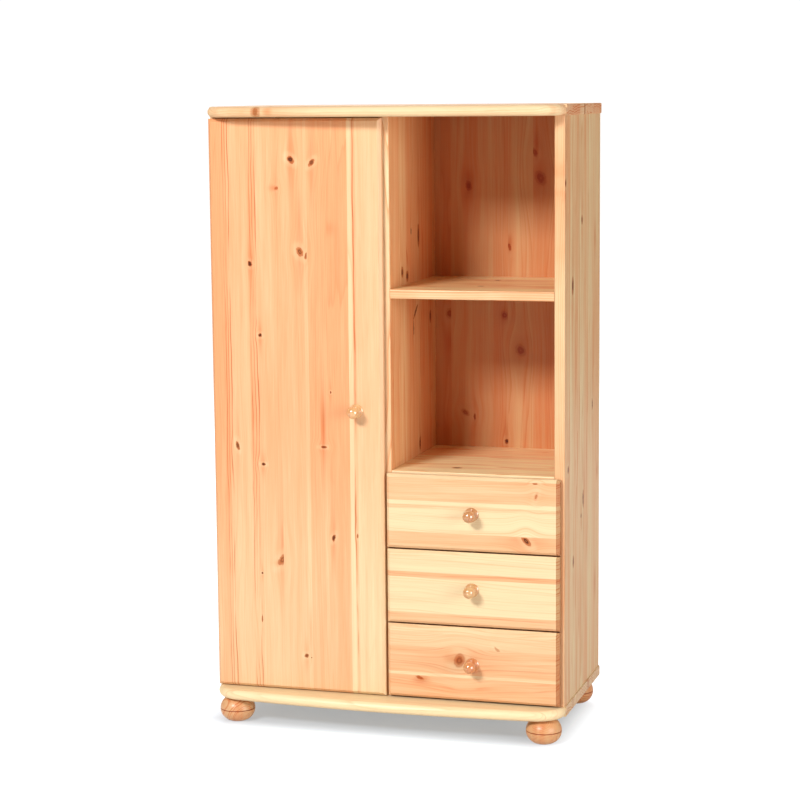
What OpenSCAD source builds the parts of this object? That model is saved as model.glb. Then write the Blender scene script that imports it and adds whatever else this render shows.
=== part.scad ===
// Pine combination cabinet: one tall door, two open niches, three drawers.
// Millimetres, +Z up, front towards -Y. The origin lies on the floor under the middle of the boards.

/* [Cabinet] */
// Width over the outer faces of the two side panels
body_w = 862; // [780:1:960]
// Clear height between the bottom board and the top board
inner_h = 1380; // [1300:1:1560]
// Depth of the side panels
side_d = 400; // [370:1:460]
// Thickness of the side panels and the partition
side_t = 25; // [23:0.5:28]
// Radius on the front edges of the panels and shelves
front_edge_r = 3.5; // [1:0.5:5]

/* [Top and bottom boards] */
// Thickness of both boards
board_t = 25; // [22:0.5:28]
// How far the boards stand out past the side panels
board_overhang = 3; // [1:0.5:8]
// How far the middle of the bow stands out in front of the side panels
bow_reach = 80; // [70:1:95]
// How far the bow falls back from its middle to the ends
bow_fall = 26; // [18:1:32]
// Radius of the rounded front corners in plan
bow_corner_r = 70; // [60:1:80]
// Radius on the side edges behind the rounded corners
board_edge_r = 2.5; // [1:0.5:4]

/* [Feet] */
// Height of a foot
foot_h = 60; // [50:1:75]
// Largest diameter of a foot
foot_d = 85; // [70:1:95]
// Radius of the turned side of a foot
foot_turn_r = 31; // [31:0.5:34]
// Radius of the fine groove round the middle of a foot
foot_groove_r = 1.4; // [0.8:0.1:1.8]
// From the side edge of the bottom board to the middle of a foot
foot_side_inset = 50; // [48:1:70]
// From the middle of the bow to the middle of a front foot
foot_front_inset = 70; // [68:1:90]
// From the back edge of the bottom board to the middle of a back foot
foot_back_inset = 46; // [45:1:70]
// Length of a foot's fixing screw inside the foot
foot_screw_in_foot = 28; // [20:1:34]
// Length of a foot's fixing screw inside the board
foot_screw_in_board = 16; // [12:1:18]
// Radius of a foot's fixing screw
foot_screw_r = 4; // [3:0.5:5]

/* [Back panels] */
// Thickness of the two back panels
back_t = 8; // [5:0.5:10]
// How far the back panels sit inside the rear faces
back_recess = 0.5; // [0.5:0.1:2]
// Width of the rebate in the side panels that takes a back panel
rebate_w = 10; // [8:0.5:12]
// Spacing of the nails up a back panel
nail_pitch = 220; // [150:10:300]
// Length of a nail
nail_l = 24; // [18:1:30]
// Radius of a nail
nail_r = 0.9; // [0.7:0.1:1.2]
// Radius of a nail's head
nail_head_r = 2.2; // [1.8:0.1:2.6]

/* [Niches] */
// Thickness of the niche shelf and the niche floor
shelf_t = 22; // [18:0.5:25]
// Clear height of the lower niche
lower_niche_h = 408; // [300:1:480]
// How much of the niche floor's front edge shows above the top drawer
floor_reveal = 5; // [2:0.5:8]

/* [Door] */
// Thickness of the door and the drawer fronts
front_t = 18; // [17:0.5:22]
// Width and depth of the bevel round the door and the drawer fronts
bevel = 7; // [3:0.5:8]
// Gap between the closed fronts and the front edges of the panels
front_gap = 3; // [2.8:0.1:4]
// Gap above and below the door
door_gap = 3; // [2:0.5:5]
// How far the door's hinge edge lies inside the side panel's outer face
door_edge_inset = 2; // [1.5:0.1:3]
// How far the door covers the partition's front edge
door_lap = 11; // [8:0.5:11.5]
// From the door's free edge to its knob
door_knob_inset = 65; // [40:1:90]
// Largest opening angle of the door, in degrees
door_swing = 100; // [90:1:100]

/* [Hinges] */
// From the side panel's outer face to the hinge pivot
pivot_x = 9; // [9:0.1:9.5]
// From the door's back face to the hinge pivot
pivot_depth = 8; // [7.5:0.1:8]
// From the door's top and bottom edges to the outer hinges
hinge_inset = 100; // [80:1:160]
// Radius of a hinge cup
cup_r = 17.5; // [17:0.1:18]
// Depth of a hinge cup
cup_depth = 11.5; // [11.5:0.1:12.5]
// From the door's edge to the rim of a hinge cup
cup_edge = 3; // [3:0.1:3.5]
// Wall of a hinge cup
cup_wall = 0.8; // [0.6:0.1:1]
// Radius of a hinge pin
pin_r = 1.5; // [1.2:0.1:1.6]
// Radius of the knuckle that turns on a hinge pin
knuckle_r = 2.4; // [2.2:0.1:2.5]
// Height of the knuckle and of the arm behind it
arm_h = 8; // [6:0.5:8]
// Thickness of a hinge arm
arm_t = 1.6; // [1.2:0.1:1.8]
// Length of the foot of a hinge arm
arm_foot_l = 50; // [40:1:60]
// Height of the foot of a hinge arm
arm_foot_h = 24; // [16:1:30]

/* [Drawers] */
// Height of a drawer front
drawer_front_h = 177.5; // [165:0.5:185]
// Gap between two drawer fronts
drawer_gap = 3; // [2:0.5:5]
// Gap between the lowest drawer front and the bottom board
drawer_base_gap = 4.5; // [3:0.5:8]
// How far the drawer fronts cover the partition's front edge
drawer_partition_lap = 8; // [6:0.5:8.5]
// How far the drawer fronts cover the right side panel's front edge
drawer_side_lap = 16.5; // [10:0.5:20]
// Height of a drawer box
box_h = 125; // [100:1:130]
// From the lower edge of a drawer front to the underside of its box
box_lift = 22; // [15:0.5:26]
// Thickness of the sides of a drawer box
box_side_t = 14; // [13:0.5:16]
// Thickness of the back of a drawer box
box_back_t = 12; // [10:0.5:14]
// Thickness of the bottom of a drawer box
box_bottom_t = 4; // [3:0.5:6]
// Gap between a drawer box and the panels beside it
box_gap = 2; // [1.5:0.5:3]
// Gap between a closed drawer box and the back panel
box_rear_gap = 35; // [20:1:60]
// How deep the sides and the bottom of a box are let into its front
box_housing = 6; // [4:0.5:7]
// How far a drawer slides out
drawer_travel = 270; // [200:1:290]

/* [Drawer runners] */
// Height of a runner strip
runner_h = 16; // [12:0.5:20]
// How far a runner strip stands out from the panel that carries it
runner_w = 9; // [8:0.5:9]
// From the underside of a drawer box to the runner strip
runner_lift = 50; // [40:1:60]
// From the front edges of the panels to the front end of a runner strip
runner_setback = 12; // [10:1:30]

/* [Shelves behind the door] */
// Thickness of the loose shelves
loose_t = 18; // [16:0.5:22]
// From the bottom board to the underside of the lower shelf
lower_shelf_up = 330; // [280:1:380]
// From the middle hinge down to the top of the middle shelf
middle_shelf_drop = 52; // [40:1:80]
// From the top board down to the top of the upper shelf
upper_shelf_drop = 382; // [300:1:420]
// Gap at each end of a loose shelf
loose_gap = 1; // [0.5:0.5:1.5]
// From the panels' front edges to the front of a loose shelf
loose_setback = 5; // [3:1:20]
// Gap between a loose shelf and the back panel
loose_rear_gap = 2; // [1:0.5:4]
// Radius of a shelf pin
shelf_pin_r = 2.5; // [2:0.5:3]
// Length of a shelf pin inside its hole
shelf_pin_in = 8; // [6:0.5:9]
// Length of a shelf pin under the shelf
shelf_pin_out = 9; // [7:0.5:12]
// Spacing of the holes that let a shelf be moved up or down
pin_pitch = 32; // [25:1:40]
// From a loose shelf's front and back edges to its pins
pin_inset = 45; // [30:1:70]

/* [Knobs] */
// Radius of a knob's ball
knob_r = 14.5; // [12:0.5:17]
// From the front's face to the middle of the ball
knob_reach = 28; // [25:0.5:32]
// Radius of a knob's round base
knob_base_r = 16.5; // [14:0.5:18]
// Radius of the neck between the base and the ball
knob_neck_r = 9; // [7:0.5:10]
// Radius of the fine rings cut round a knob's flared base
knob_ring_r = 0.7; // [0.4:0.1:1]
// Radius of a knob screw
knob_screw_r = 2; // [1.5:0.1:2.5]
// Length of a knob screw inside the knob
knob_screw_in = 15; // [10:1:20]
// Radius of a knob screw's head
knob_head_r = 4; // [3:0.1:5]
// Thickness of a knob screw's head
knob_head_t = 2.2; // [1.5:0.1:2.5]

/* [Joints and fasteners] */
// Radius of a dowel
dowel_r = 4; // [3:0.5:4]
// Length of a dowel in the end of a board
dowel_in_end = 24; // [18:1:28]
// Length of a dowel in the face that the end meets
dowel_in_face = 13; // [10:0.5:13]
// From the face that the cams open on to the line of dowels and bolts
joint_line = 10; // [9:0.5:10.5]
// From the front and back of a joint to its outer dowels
joint_inset = 40; // [30:1:60]
// From a dowel to the cam beside it
cam_pitch = 32; // [25:1:40]
// Radius of a cam lock
cam_r = 7.5; // [7:0.1:8]
// Depth of a cam lock
cam_depth = 14; // [13.5:0.1:14.5]
// From the end of a board to the middle of its cam
cam_reach = 34; // [30:0.5:38]
// Radius of a cam bolt's thread
bolt_thread_r = 3; // [2.8:0.1:3.2]
// Length of a cam bolt's thread in the face of a board
bolt_thread_l = 11; // [9:0.5:11]
// Radius of a cam bolt's neck
bolt_neck_r = 2.5; // [2:0.1:2.7]
// Radius of a cam bolt's head
bolt_head_r = 3.4; // [3.3:0.1:3.4]
// Length of a cam bolt's head
bolt_head_l = 4; // [3:0.5:5]
// Radius of a wood screw
screw_r = 1.75; // [1.5:0.05:2]
// Radius of a wood screw's head
screw_head_r = 3.4; // [3:0.1:3.6]
// Depth of a wood screw's countersink
screw_sink = 1.8; // [1.6:0.1:2]
// Length of the screws in the carcass
carcass_screw_l = 20; // [16:1:20]
// Length of the screws in the door
door_screw_l = 14; // [10:1:14]
// Clearance round whatever is glued, driven or pressed in
fit = 0.05; // [0.02:0.01:0.1]
// Running clearance round a hinge pin
pin_fit = 0.06; // [0.02:0.01:0.1]
// Clearance above, below and beside a sliding runner
slide_fit = 0.3; // [0.2:0.05:0.5]

/* [Hidden] */
$fn = 48;
cut = 1; // how far a cutting shape runs past the face that it opens

// Overall box
board_w = body_w + 2*board_overhang;
board_d = side_d + bow_reach;
front_y = bow_reach - board_d/2;
back_y = board_d/2;
floor_z = foot_h + board_t;
top_z = floor_z + inner_h;

// Faces of the uprights
outer_x = body_w/2;
inner_x = outer_x - side_t;
part_x = side_t/2;
back_face_y = back_y - back_recess - back_t;
door_back_y = front_y - front_gap;
face_y = door_back_y - front_t;

// Plan of the bowed boards: one wide arc with a smaller arc at each front corner
half_w = board_w/2;
bow_r = (half_w*half_w + bow_fall*bow_fall) / (2*bow_fall);
bow_y = bow_r - board_d/2;
corner_x = half_w - bow_corner_r;
corner_y = bow_y - sqrt(pow(bow_r - bow_corner_r, 2) - corner_x*corner_x);
bow_angle = asin(corner_x / (bow_r - bow_corner_r));
// How far behind the bow's edge its curved strip reaches
bow_band = bow_corner_r + 60;
// The corner arcs stay this much inside the side edges, and cross the wide arc this much forward
corner_relief = 0.05;
corner_forward = 0.25;
// The half-round edges meet the boards' faces at a slight angle: they are this much larger in radius
nose_extra = 0.1;

// Heights in the right-hand bay, drawers counted from the lowest
function drawer_z(i) = floor_z + drawer_base_gap + i*(drawer_front_h + drawer_gap);
niche_floor_z = drawer_z(2) + drawer_front_h + floor_reveal - shelf_t;
niche_shelf_z = niche_floor_z + shelf_t + lower_niche_h;

// Door
door_x0 = -outer_x + door_edge_inset;
door_w = -part_x + door_lap - door_x0;
door_z = floor_z + door_gap;
door_h = inner_h - 2*door_gap;
door_knob_x = door_x0 + door_w - door_knob_inset;
door_mid_z = door_z + door_h/2;

// Drawer fronts and boxes
drawer_x0 = part_x - drawer_partition_lap;
drawer_w = inner_x + drawer_side_lap - drawer_x0;
drawer_mid_x = drawer_x0 + drawer_w/2;
box_x = [part_x + box_gap, inner_x - box_gap];
box_rear_y = back_face_y - box_rear_gap;
runner_y = front_y + runner_setback;
runner_l = box_rear_y - runner_y - slide_fit;
groove_d = runner_w - box_gap + slide_fit;
bottom_up = 8;
back_inset = 10;
back_housing = min(5, box_side_t - groove_d - 1);

// Hinges
pivot = [-outer_x + pivot_x, door_back_y - pivot_depth];
hinge_z = [door_z + hinge_inset, door_mid_z, door_z + door_h - hinge_inset];
cup_x = -outer_x + door_edge_inset + cup_edge + cup_r;
cup_offset = cup_x - pivot[0];
// The pin ends this far inside the cup's round wall
pin_end = 0.4;
pin_half = sqrt(cup_r*cup_r - pow(cup_offset + pin_r, 2)) - pin_end;
arm_x = side_t - pivot_x;
arm_step = front_y - pivot[1];
arm_foot_y = arm_step + 10;
arm_screw_end = 9;
flange_t = 1;
flange_screw_x = 7;
flange_screw_z = 23;
flange_lip = 1.2;
// Lugs in the cup that hold the ends of the pin, clear of the knuckle
lug_clear = 0.5;
lug_t = 1.5;

// Catch
catch_plate_w = 12;
catch_plate_t = 1.2;
catch_plate_h = 36;
catch_w = 14;
catch_d = 30;
catch_h = 44;
// The catch's two poles stand out of its housing
pole_out = 3;
pole_t = 3;
pole_h = 22;
catch_screw_y = 18;
catch_x = -part_x - catch_w/2;
catch_screw_z = 15;
catch_plate_screw_z = 12;
catch_y = door_back_y + catch_plate_t + slide_fit;

// Loose shelves: undersides, from the lowest
loose_z = [floor_z + lower_shelf_up, door_mid_z - middle_shelf_drop - loose_t,
  top_z - upper_shelf_drop - loose_t];
loose_y = [front_y + loose_setback, back_face_y - loose_rear_gap];
pin_y = [loose_y[0] + pin_inset, loose_y[1] - pin_inset];

// Lines of dowels and cam bolts
dowel_y = [front_y + joint_inset, (front_y + back_face_y)/2, back_face_y - joint_inset];
cam_y = [dowel_y[0] + cam_pitch, dowel_y[2] - cam_pitch];
// Each upright: the face its cams open on, and the way out of that face along X
upright_faces = [[-inner_x, 1], [-part_x, -1], [inner_x, -1]];
shelf_zs = [niche_floor_z, niche_shelf_z];

foot_places = [[-half_w + foot_side_inset, -board_d/2 + foot_front_inset],
  [half_w - foot_side_inset, -board_d/2 + foot_front_inset],
  [-half_w + foot_side_inset, back_y - foot_back_inset],
  [half_w - foot_side_inset, back_y - foot_back_inset]];
runner_screw_inset = 40;
// Nails: thickness of a head, first one above the bottom board, and beside the middle of the partition
nail_head_t = 0.5;
nail_start = 30;
nail_x = 4;
// Steps up a knob's base, and where its flare meets the neck
base_rim = 3;
base_round = 1.5;
base_top = 12;
base_rings = 2;
// Cross slot of a cam lock
slot_w = 1.4;
slot_l = 8;
slot_depth = 2.5;
// The bolt's head has this much room inside the cam
bolt_play = 0.5;

// Outlines and shared shapes

// Section of a board from radius a to the tip of its half-round edge at radius b
module nosed_section(a, b) {
  translate([a, 0]) square([b - board_t/2 - a, board_t]);
  intersection() {
    translate([b - board_t/2 - nose_extra, board_t/2]) circle(r = board_t/2 + nose_extra);
    translate([a, 0]) square([b - a + 1, board_t]);
  }
}

// A bowed board standing on z = 0
module bowed_board() {
  translate([0, bow_y, 0]) rotate([0, 0, -90 - bow_angle])
    rotate_extrude(angle = 2*bow_angle, $fn = 1440)
      nosed_section(bow_r - bow_band, bow_r, $fn = 96);
  for (m = [0, 1]) mirror([m, 0, 0]) translate([corner_x, corner_y - corner_forward, 0])
    rotate_extrude($fn = 120) nosed_section(0, bow_corner_r - corner_relief, $fn = 96);
  translate([0, back_y, 0]) rotate([90, 0, 0]) linear_extrude(back_y - corner_y) side_rounded_section();
}

// Section across the straight part of a board, with its side edges rounded
module side_rounded_section() {
  r = board_edge_r;
  translate([-half_w, r]) square([board_w, board_t - 2*r]);
  translate([-half_w + r, 0]) square([board_w - 2*r, board_t]);
  for (x = [-half_w + r, half_w - r], z = [r, board_t - r]) translate([x, z]) circle(r = r);
}

// Plan of an upright with its front edge at y = 0 and both front corners rounded
module upright_plan(w, d) {
  r = front_edge_r;
  translate([0, r]) square([w, d - r]);
  translate([r, 0]) square([w - 2*r, 2*r]);
  for (x = [r, w - r]) translate([x, r]) circle(r = r);
}

// A flat board of width w along X with its two front edges rounded
module shelf_board(w, d, t) {
  r = min(front_edge_r, t/3);
  rotate([90, 0, 90]) linear_extrude(w) {
    translate([r, 0]) square([d - r, t]);
    translate([0, r]) square([2*r, t - 2*r]);
    for (z = [r, t - r]) translate([r, z]) circle(r = r);
  }
}

// A front with its back face at y = 0 and a mitred bevel round its face
module bevelled_front(w, h) {
  intersection() {
    linear_extrude(h)
      polygon([[0, 0], [w, 0], [w, bevel - front_t], [w - bevel, -front_t], [bevel, -front_t],
        [0, bevel - front_t]]);
    rotate([90, 0, 90]) linear_extrude(w)
      polygon([[0, 0], [bevel - front_t, 0], [-front_t, bevel], [-front_t, h - bevel],
        [bevel - front_t, h], [0, h]]);
  }
}

// A countersunk wood screw, or with c above 0 the hole for it: head at z = 0, shank down
module screw(l, c = 0) {
  translate([0, 0, -screw_sink - c])
    cylinder(r1 = screw_r + c, r2 = screw_head_r + c, h = screw_sink + c);
  translate([0, 0, -l - c]) cylinder(r = screw_r + c, h = l);
}

// A dowel, or its hole: z = 0 is the joint, up is the end of the board
module dowel(c = 0) {
  translate([0, 0, -dowel_in_face - c]) cylinder(r = dowel_r + c, h = dowel_in_end + dowel_in_face + 2*c);
}

// A cam bolt: thread below z = 0, neck and head above
module cam_bolt_shape() {
  translate([0, 0, -bolt_thread_l]) cylinder(r = bolt_thread_r, h = bolt_thread_l + 2);
  cylinder(r = bolt_neck_r, h = cam_reach);
  translate([0, 0, cam_reach - bolt_head_l/2]) cylinder(r = bolt_head_r, h = bolt_head_l);
}

// The bore for a cam bolt: narrow in the face of one board, wide in the end of the other
module cam_bolt_bore() {
  translate([0, 0, -bolt_thread_l - fit]) cylinder(r = bolt_thread_r + fit, h = bolt_thread_l + cut);
  cylinder(r = bolt_head_r + 2*fit, h = cam_reach);
}

// A cam lock that opens on z = 0 and takes its bolt from +X
module cam_shape() {
  difference() {
    cylinder(r = cam_r, h = cam_depth);
    translate([-bolt_head_l/2 - bolt_play, 0, joint_line]) rotate([0, 90, 0])
      cylinder(r = bolt_head_r + 2*fit, h = cam_r + bolt_head_l);
    for (a = [0, 90]) rotate([0, 0, a]) translate([-slot_l/2, -slot_w/2, -cut])
      cube([slot_l, slot_w, cut + slot_depth]);
  }
}

module cam_pocket() {
  translate([0, 0, -cut]) cylinder(r = cam_r + fit, h = cam_depth + cut + fit);
}

// Places of the joints: z up runs into the upright or along the shelf

module at_upright_joints(ys) {
  for (u = upright_faces, y = ys, e = [0, 1])
    translate([u[0] - u[1]*joint_line, y, e == 0 ? floor_z : top_z]) mirror([0, 0, e]) children();
}

module at_upright_cams(turn = true) {
  for (u = upright_faces, y = cam_y, e = [0, 1])
    translate([u[0], y, e == 0 ? floor_z + cam_reach : top_z - cam_reach])
      rotate([0, -90*u[1], 0]) rotate([0, 0, (u[1] > 0) == (e == 0) ? 180 : 0]) children();
}

module at_shelf_joints(ys) {
  for (z = shelf_zs, y = ys) {
    translate([part_x, y, z + joint_line]) rotate([0, 90, 0]) children();
    translate([inner_x, y, z + joint_line]) rotate([0, -90, 0]) children();
  }
}

module at_shelf_cams() {
  for (z = shelf_zs, y = cam_y) {
    translate([part_x + cam_reach, y, z]) rotate([0, 0, 180]) children();
    translate([inner_x - cam_reach, y, z]) children();
  }
}

module at_shelf_pins(steps) {
  for (z = loose_z, y = pin_y, s = steps) {
    translate([-inner_x, y, z - shelf_pin_r + s*pin_pitch]) rotate([0, 90, 0]) children();
    translate([-part_x, y, z - shelf_pin_r + s*pin_pitch]) rotate([0, -90, 0]) children();
  }
}

// Runner screws point into the panel: the first child's head lies on the runner's face
module at_runner_screws() {
  for (i = [0:2], y = [runner_y + runner_screw_inset, runner_y + runner_l - runner_screw_inset]) {
    z = drawer_z(i) + box_lift + runner_lift + runner_h/2;
    translate([part_x + runner_w, y, z]) rotate([0, 90, 0]) children();
    translate([inner_x - runner_w, y, z]) rotate([0, -90, 0]) children();
  }
}

module at_arm_screws() {
  for (z = hinge_z, y = [arm_screw_end, arm_foot_l - arm_screw_end])
    translate([pivot[0] + arm_x + arm_t, pivot[1] + arm_foot_y + y, z]) rotate([0, 90, 0]) children();
}

module at_catch_screws() {
  for (z = [-catch_screw_z, catch_screw_z])
    translate([-part_x - catch_w, catch_y + catch_screw_y, door_mid_z + z]) rotate([0, -90, 0]) children();
}

module at_cup_screws() {
  for (z = hinge_z, s = [-1, 1])
    translate([cup_x + flange_screw_x, door_back_y + flange_t, z + s*flange_screw_z])
      rotate([-90, 0, 0]) children();
}

module at_plate_screws() {
  for (s = [-1, 1])
    translate([catch_x, door_back_y + catch_plate_t, door_mid_z + s*catch_plate_screw_z])
      rotate([-90, 0, 0]) children();
}

module at_feet() { for (p = foot_places) translate([p[0], p[1], 0]) children(); }

module at_nails() {
  rise = inner_h - 2*nail_start;
  rows = floor(rise/nail_pitch);
  for (k = [0:rows], x = [-inner_x - rebate_w/2, -nail_x, nail_x, inner_x + rebate_w/2])
    translate([x, back_y - back_recess, floor_z + nail_start + k*rise/rows])
      rotate([-90, 0, 0]) children();
}

// A nail, or its hole: head just outside z = 0, shank down
module nail(c = 0) {
  cylinder(r = nail_head_r + c, h = nail_head_t);
  translate([0, 0, -nail_l - c]) cylinder(r = nail_r + c, h = nail_l + c);
}

// Boards of the carcass

module board_bores() {
  at_upright_joints(dowel_y) dowel(fit);
  at_upright_joints(cam_y) cam_bolt_bore();
}

module top_board() {
  color("burlywood") difference() {
    translate([0, 0, top_z]) bowed_board();
    board_bores();
  }
}

module bottom_board() {
  color("burlywood") difference() {
    translate([0, 0, foot_h]) bowed_board();
    board_bores();
    at_feet() translate([0, 0, foot_h - cut])
      cylinder(r = foot_screw_r + fit, h = foot_screw_in_board + cut + fit);
  }
}

// A side panel with its rebate towards the middle, drawn for the left
module side_blank() {
  translate([-outer_x, front_y, floor_z]) linear_extrude(inner_h) difference() {
    upright_plan(side_t, side_d);
    translate([side_t - rebate_w, back_face_y - front_y]) square([rebate_w + cut, back_t + back_recess + cut]);
  }
}

module upright_bores() {
  at_upright_joints(dowel_y) dowel(fit);
  at_upright_joints(cam_y) cam_bolt_bore();
  at_upright_cams() cam_pocket();
}

module shelf_end_bores() {
  at_shelf_joints([dowel_y[0], dowel_y[2]]) dowel(fit);
  at_shelf_joints(cam_y) cam_bolt_bore();
}

module left_side() {
  color("wheat") difference() {
    side_blank();
    upright_bores();
    at_shelf_pins([-1, 0, 1]) translate([0, 0, -shelf_pin_in - fit])
      cylinder(r = shelf_pin_r + fit, h = shelf_pin_in + cut);
    at_arm_screws() screw(carcass_screw_l, fit);
    at_nails() nail(fit);
  }
}

module right_side() {
  color("wheat") difference() {
    mirror([1, 0, 0]) side_blank();
    upright_bores();
    shelf_end_bores();
    at_runner_screws() screw(carcass_screw_l, fit);
    at_nails() nail(fit);
  }
}

module partition() {
  color("wheat") difference() {
    translate([-part_x, front_y, floor_z]) linear_extrude(inner_h)
      upright_plan(side_t, back_face_y - front_y);
    upright_bores();
    shelf_end_bores();
    at_shelf_pins([-1, 0, 1]) translate([0, 0, -shelf_pin_in - fit])
      cylinder(r = shelf_pin_r + fit, h = shelf_pin_in + cut);
    at_runner_screws() screw(carcass_screw_l, fit);
    at_catch_screws() screw(carcass_screw_l, fit);
    at_nails() nail(fit);
  }
}

// A fixed board of the right-hand bay, between the partition and the right side
module bay_board(z) {
  difference() {
    translate([part_x, front_y, z]) shelf_board(inner_x - part_x, back_face_y - front_y, shelf_t);
    shelf_end_bores();
    at_shelf_cams() cam_pocket();
  }
}

module niche_shelf() { color("burlywood") bay_board(niche_shelf_z); }

module niche_floor() { color("burlywood") bay_board(niche_floor_z); }

// A back panel from x0 to x1, nailed in its rebate
module back_panel(x0, x1) {
  difference() {
    translate([x0, back_face_y, floor_z + slide_fit]) cube([x1 - x0, back_t, inner_h - 2*slide_fit]);
    at_nails() nail(fit);
  }
}

module left_back_panel() { color("peru") back_panel(-inner_x - rebate_w + slide_fit, -slide_fit/2); }

module right_back_panel() { color("peru") back_panel(slide_fit/2, inner_x + rebate_w - slide_fit); }

module loose_shelf(i) {
  color("burlywood") translate([-inner_x + loose_gap, loose_y[0], loose_z[i] + fit])
    shelf_board(inner_x - part_x - 2*loose_gap, loose_y[1] - loose_y[0], loose_t);
}

module shelf_pins() {
  color("silver") at_shelf_pins([0]) translate([0, 0, -shelf_pin_in])
    cylinder(r = shelf_pin_r, h = shelf_pin_in + shelf_pin_out);
}

// A turned foot: a squashed ball with a fine groove round its middle
module foot() {
  color("sandybrown") difference() {
    rotate_extrude($fn = 96) difference() {
      intersection() {
        union() {
          translate([foot_d/2 - foot_turn_r, foot_h/2]) circle(r = foot_turn_r, $fn = 96);
          square([foot_d/2 - foot_turn_r, foot_h]);
        }
        square([foot_d/2, foot_h]);
      }
      translate([foot_d/2, foot_h/2]) circle(r = foot_groove_r, $fn = 24);
    }
    translate([0, 0, foot_h - foot_screw_in_foot - fit])
      cylinder(r = foot_screw_r + fit, h = foot_screw_in_foot + cut);
  }
}

module foot_at(i) { translate([foot_places[i][0], foot_places[i][1], 0]) foot(); }

module foot_screws() {
  color("silver") at_feet() translate([0, 0, foot_h - foot_screw_in_foot])
    cylinder(r = foot_screw_r, h = foot_screw_in_foot + foot_screw_in_board);
}

// Knock-down fittings, nails and screws

module carcass_dowels() {
  color("tan") {
    at_upright_joints(dowel_y) dowel();
    at_shelf_joints([dowel_y[0], dowel_y[2]]) dowel();
  }
}

module cam_bolts() {
  color("silver") {
    at_upright_joints(cam_y) cam_bolt_shape();
    at_shelf_joints(cam_y) cam_bolt_shape();
  }
}

module cam_locks() {
  color("silver") {
    at_upright_cams() cam_shape();
    at_shelf_cams() cam_shape();
  }
}

module back_nails() { color("silver") at_nails() nail(); }

module carcass_screws() {
  color("silver") {
    at_runner_screws() screw(carcass_screw_l);
    at_arm_screws() screw(carcass_screw_l);
    at_catch_screws() screw(carcass_screw_l);
  }
}

module door_screws() {
  color("silver") {
    at_cup_screws() screw(door_screw_l);
    at_plate_screws() screw(door_screw_l);
  }
}

// Drawer runners: one strip on the partition and one on the right side

module runners(i) {
  color("tan") difference() {
    for (x = [part_x, inner_x - runner_w])
      translate([x, runner_y, drawer_z(i) + box_lift + runner_lift]) cube([runner_w, runner_l, runner_h]);
    at_runner_screws() screw(carcass_screw_l, fit);
  }
}

// Hinges

// The fixed arm: knuckle on the pin, step across to the side panel, foot screwed to its face
module hinge_arm(i) {
  color("silver") difference() {
    translate([pivot[0], pivot[1], hinge_z[i]]) difference() {
      union() {
        translate([0, 0, -arm_h/2]) linear_extrude(arm_h) {
          circle(r = knuckle_r);
          translate([0, -arm_t/2]) square([arm_x + arm_t, arm_t]);
        }
        translate([arm_x, 0, 0]) rotate([90, 0, 90]) linear_extrude(arm_t)
          polygon([[-arm_t/2, -arm_h/2], [arm_step, -arm_h/2], [arm_foot_y, -arm_foot_h/2],
            [arm_foot_y + arm_foot_l, -arm_foot_h/2], [arm_foot_y + arm_foot_l, arm_foot_h/2],
            [arm_foot_y, arm_foot_h/2], [arm_step, arm_h/2], [-arm_t/2, arm_h/2]]);
      }
      translate([0, 0, -arm_h]) cylinder(r = pin_r + pin_fit, h = 2*arm_h);
    }
    at_arm_screws() screw(carcass_screw_l, fit);
  }
}

// The inside of a cup, less the two lugs that hold the pin's ends
module cup_hollow() {
  lug_y = arm_h/2 + lug_clear;
  translate([0, 0, cup_wall - cup_depth]) difference() {
    cylinder(r = cup_r - cup_wall, h = cup_depth + flange_t);
    for (s = [0, 1]) mirror([0, s, 0]) translate([-cup_r, lug_y, -cut])
      cube([cup_r - cup_offset + pin_r + lug_t, cup_r, cut + cup_depth - cup_wall - pivot_depth + pin_r + lug_t]);
  }
}

// The cup let into the door, with its flange on the door's back face
module hinge_cup(i) {
  color("silver") difference() {
    translate([cup_x, door_back_y, hinge_z[i]]) rotate([-90, 0, 0]) difference() {
      union() {
        translate([0, 0, -cup_depth]) cylinder(r = cup_r, h = cup_depth + flange_t);
        cylinder(r = cup_r + flange_lip, h = flange_t);
        for (s = [-1, 1]) translate([flange_screw_x, s*flange_screw_z, 0])
          cylinder(r = flange_screw_x, h = flange_t);
        translate([0, -flange_screw_z, 0]) cube([2*flange_screw_x, 2*flange_screw_z, flange_t]);
      }
      cup_hollow();
    }
    translate([pivot[0], pivot[1], hinge_z[i] - pin_half - fit])
      cylinder(r = pin_r + fit, h = 2*(pin_half + fit));
    at_cup_screws() screw(door_screw_l, fit);
  }
}

module hinge_pins() {
  color("silver") for (z = hinge_z) translate([pivot[0], pivot[1], z - pin_half])
    cylinder(r = pin_r, h = 2*pin_half);
}

// Catch: a magnet in a housing on the partition, and a steel plate on the door

module magnet_catch() {
  color("white") difference() {
    union() {
      translate([-part_x - catch_w, catch_y + pole_out, door_mid_z - catch_h/2])
        cube([catch_w, catch_d - pole_out, catch_h]);
      for (x = [-catch_w/4, catch_w/4])
        translate([catch_x + x - pole_t/2, catch_y, door_mid_z - pole_h/2])
          cube([pole_t, 2*pole_out, pole_h]);
    }
    at_catch_screws() screw(carcass_screw_l, fit);
  }
}

module catch_plate() {
  color("silver") difference() {
    translate([catch_x - catch_plate_w/2, door_back_y, door_mid_z - catch_plate_h/2])
        cube([catch_plate_w, catch_plate_t, catch_plate_h]);
    at_plate_screws() screw(door_screw_l, fit);
  }
}

// Knobs: ball, neck and flared base turned in one piece, axis towards -Y

// Half outline of a knob's base: a rim, a small round and a flare with rings cut round it
module knob_base_outline() {
  low = [knob_base_r - base_round, base_rim + base_round];
  high = [knob_neck_r, base_top];
  difference() {
    polygon([[0, 0], [knob_base_r, 0], [knob_base_r, base_rim], low, high, [0, base_top]]);
    for (k = [1:base_rings]) translate(low + (high - low)*k/(base_rings + 1)) circle(r = knob_ring_r, $fn = 20);
  }
}

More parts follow.
